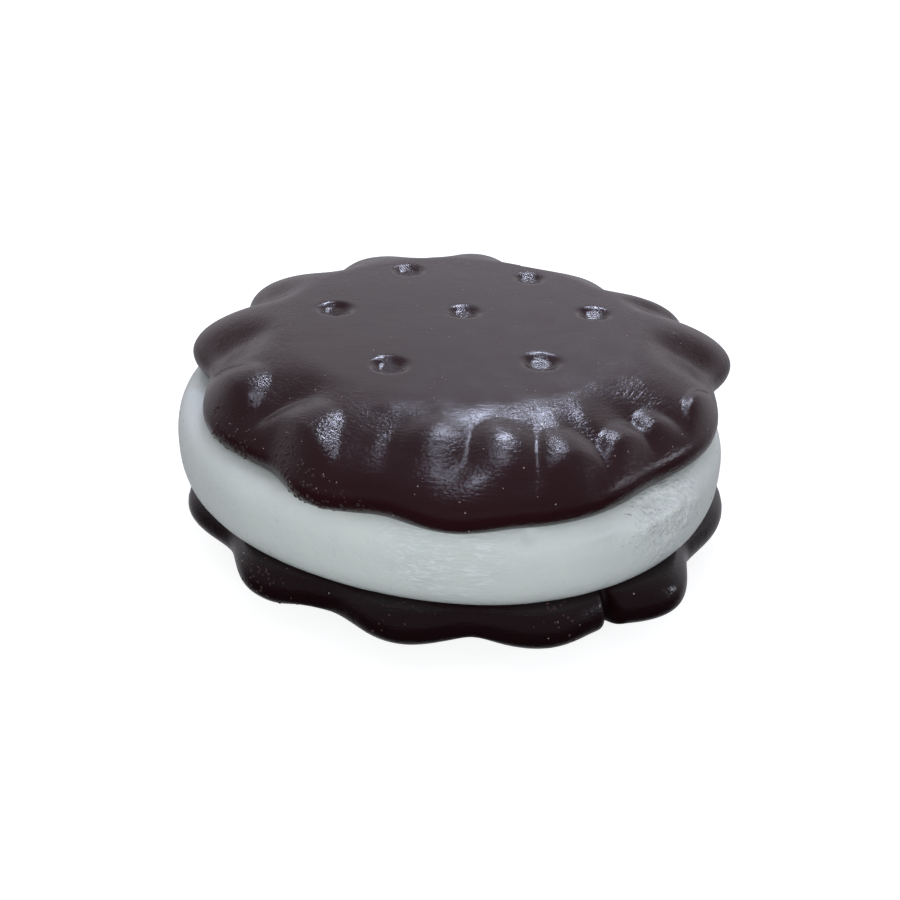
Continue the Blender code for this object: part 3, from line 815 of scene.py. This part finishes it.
def make_floor():
    corners = [
        (x * FLOOR_HALF_SIZE, y * FLOOR_HALF_SIZE, 0.0) for x, y in ((-1, -1), (1, -1), (1, 1), (-1, 1))]
    floor = stage_piece("floor", corners, [(0, 1, 2, 3)], white_card())
    # The floor lights nothing and isn't mirrored, so the gloss under the rims stays dark
    floor.visible_glossy = False
    floor.visible_diffuse = False


def make_light(name, place, width, depth, power, colour):
    """A flat soft light at a place, in metres, which looks at the cookie."""
    light = bpy.data.lights.new(name, "AREA")
    light.shape = "RECTANGLE"
    light.size = width
    light.size_y = depth
    light.energy = power
    light.color = linear(colour)[:3]
    lamp = bpy.data.objects.new(name, light)
    bpy.context.scene.collection.objects.link(lamp)
    lamp.location = place
    lamp.rotation_euler = lamp.location.to_track_quat("Z", "Y").to_euler()
    return lamp


def make_camera():
    camera = bpy.data.objects.new("camera", bpy.data.cameras.new("camera"))
    bpy.context.scene.collection.objects.link(camera)
    camera.data.lens = CAMERA_LENS
    camera.data.sensor_width = 36.0
    camera.data.clip_start = 0.01
    elevation = math.radians(CAMERA_ELEVATION)
    away = Vector((0.0, -math.cos(elevation), math.sin(elevation)))
    camera.location = (Vector(CAMERA_TARGET) + away * CAMERA_DISTANCE) * MM
    tilt = Matrix.Rotation(math.radians(90.0) - elevation, 4, "X")
    roll = Matrix.Rotation(math.radians(CAMERA_ROLL), 4, "Z")
    camera.rotation_euler = (tilt @ roll).to_euler()
    bpy.context.scene.camera = camera


make_camera()
make_floor()
# The gloss mirrors three small soft lights: one behind in the upper row of highlights, one overhead in the
# lower row, and one at the right in the wet patch of the filling
make_light("back_light", (0.05, 0.32, 0.38), 0.10, 0.03, 0.6, "dfe6ff")
make_light("overhead_light", (0.02, 0.12, 0.48), 0.08, 0.03, 0.2, "dfe6ff")
make_light("side_light", (0.47, -0.02, 0.17), 0.05, 0.05, 0.14, "eef2ff")
# A broad light in front gives the filling its soft shading, and is kept out of the gloss
fill = make_light("front_light", (-0.05, -0.7, 0.26), 1.5, 0.4, 5.2, "f4f9fa")
fill.visible_glossy = False
world = bpy.data.worlds.new("dim_room")
world.use_nodes = True
room = world.node_tree
way = add(room, "ShaderNodeSeparateXYZ", [add(room, "ShaderNodeTexCoord").outputs["Generated"]]).outputs
above = add(room, MAP, {"Value": way["Z"], "From Min": -0.15, "From Max": 0.15})
low_glow = add(room, MAP, {
    "Value": way["Y"], "From Min": 0.0, "From Max": 0.6, "To Min": 0.02, "To Max": 0.5})
# The face mirrors a bright band low behind the cookie, which fades upwards and to the sides
behind = add(room, MAP, {
    "Value": way["Y"], "From Min": 0.0, "From Max": 0.8}, interpolation_type="SMOOTHSTEP")
level = add(room, MAP, {
    "Value": way["Z"], "From Min": 0.8, "From Max": 0.45}, interpolation_type="SMOOTHSTEP")
band = add(room, MATH, [behind, level], operation="MULTIPLY")
side_glow = add(room, MAP, {
    "Value": way["Y"], "From Min": -0.6, "From Max": 0.1, "To Min": 0.15, "To Max": 0.25})
high_glow = add(room, "ShaderNodeMix", {"Factor": band, "A": side_glow, "B": 0.8}, data_type="FLOAT")
glow = add(room, "ShaderNodeMix", {"Factor": above, "A": low_glow, "B": high_glow}, data_type="FLOAT")
room.links.new(glow.outputs[0], room.nodes["Background"].inputs["Strength"])
room.nodes["Background"].inputs["Color"].default_value = linear("f4f2fa")
bpy.context.scene.world = world
bpy.context.scene.view_settings.view_transform = "Standard"

trees = {make.__name__: make() for make in (disc_coordinates, scallop, press_mark, knuckle, pricked_hole)}
# The lower wafer is the same clay as the top one, with its colour darkened as painted shade
shaded_clay_copy = varnished_clay("varnished_clay_painted_shade", "14070a", "1c0a0e")
resin = translucent_resin()
centring = (*CENTRING, 0.0)

top_holes = [
    (x + TOP_HOLES_MIDDLE[0] + CENTRING[0], y + TOP_HOLES_MIDDLE[1] + CENTRING[1], *shape)
    for x, y, *shape in HOLE_PLACES]
clay = varnished_clay(
    "varnished_dark_clay", "271014", "31151b", [(x, y, TOP_FACE_LEVEL) for x, y, *_ in top_holes])
turn = Matrix.Rotation(math.radians(BOTTOM_HOLES_TURN), 2)
bottom_holes = []
for x, y, *shape in HOLE_PLACES:
    place = turn @ Vector((x, y)) + Vector(BOTTOM_HOLES_MIDDLE) + Vector(CENTRING)
    bottom_holes.append((place.x, place.y, *shape))

top = made_piece("top_wafer_skin", wafer_tree(
    "moulded_top_wafer", TOP_LOBES, TOP_MARKS, TOP_KNUCKLES, top_holes), {
    "Across": 200, "Levels": 9, "Face Level": TOP_FACE_LEVEL, "Facing": 1.0,
    "Face Middle": (-0.7, 2.3, 0.0), "Face Radius": 15.5, "Centring": centring, "Seed": 1.0,
    "Unevenness": 0.08, "Material": clay})
bottom = made_piece("bottom_wafer_skin", wafer_tree(
    "moulded_bottom_wafer", BOTTOM_LOBES, BOTTOM_MARKS, (), bottom_holes, BOTTOM_GROOVES), {
    "Across": 160, "Levels": 9, "Face Level": 0.0, "Facing": -1.0, "Face Middle": (0.3, 0.0, 0.0),
    "Face Radius": 18.5, "Centring": centring, "Seed": 2.0, "Widest Below Face": 3.3, "Back Inset": 2.3,
    "Material": shaded_clay_copy})
filling = made_piece("filling", filling_tree(), {
    "Middle": (FILLING_MIDDLE[0] + CENTRING[0], FILLING_MIDDLE[1] + CENTRING[1], 0.0),
    "Half Height": 0.5 * FILLING_THICKNESS + SEAM_GAP + SEAM_SINK,
    "Middle Level": WAFER_THICKNESS + SEAM_GAP + 0.5 * FILLING_THICKNESS, "Seed": 3.0, "Material": resin})

dust = pale_dust()
crumb_clay = varnished_clay("crumbly_dark_clay", "2c171a", "503c3e")
beads = bead_resin_painted_glint()
strewn = []
for name, surface, slot, patches, seed, values in (
        ("top_dust", top, "dark_wafer_gloss", CRUMBLY_PATCHES, 11, {
            "Per Square Metre": 60000.0, "Everywhere": 1.0, "In Patches": 0.0,
            "Smallest": 0.06, "Largest": 0.18, "Material": dust}),
        ("bottom_dust", bottom, "dark_wafer_gloss", CRUMBLY_PATCHES, 12, {
            "Per Square Metre": 30000.0, "Everywhere": 1.0, "In Patches": 0.0,
            "Smallest": 0.08, "Largest": 0.22, "Material": dust}),
        ("top_crumbs", top, "dark_wafer_gloss", CRUMBLY_PATCHES, 13, {
            "Per Square Metre": 7.0e6, "Smallest": 0.12, "Largest": 0.42, "Material": crumb_clay}),
        ("bottom_crumbs", bottom, "dark_wafer_gloss", CRUMBLY_PATCHES, 14, {
            "Per Square Metre": 3.0e6, "Smallest": 0.12, "Largest": 0.35, "Material": crumb_clay}),
        ("wet_beads", filling, "white_filling_gloss", BEADED_PATCHES, 15, {
            "Per Square Metre": 2.5e6, "Smallest": 0.06, "Largest": 0.24, "Stretch": 2.5,
            "Flatness": 0.3, "Material": beads})):
    piece = made_piece(name, scatter_tree(patches), {"Surface": surface, "Seed": seed, **values})
    strewn.append((piece, slot))

for piece, node, slot in (
        (top, "top_wafer", "dark_wafer_gloss"),
        (bottom, "bottom_wafer", "dark_wafer_gloss"),
        (filling, "cream_filling", "white_filling_gloss")):
    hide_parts(node)
    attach(piece, "root")
for piece, slot in strewn:
    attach(piece, "root")
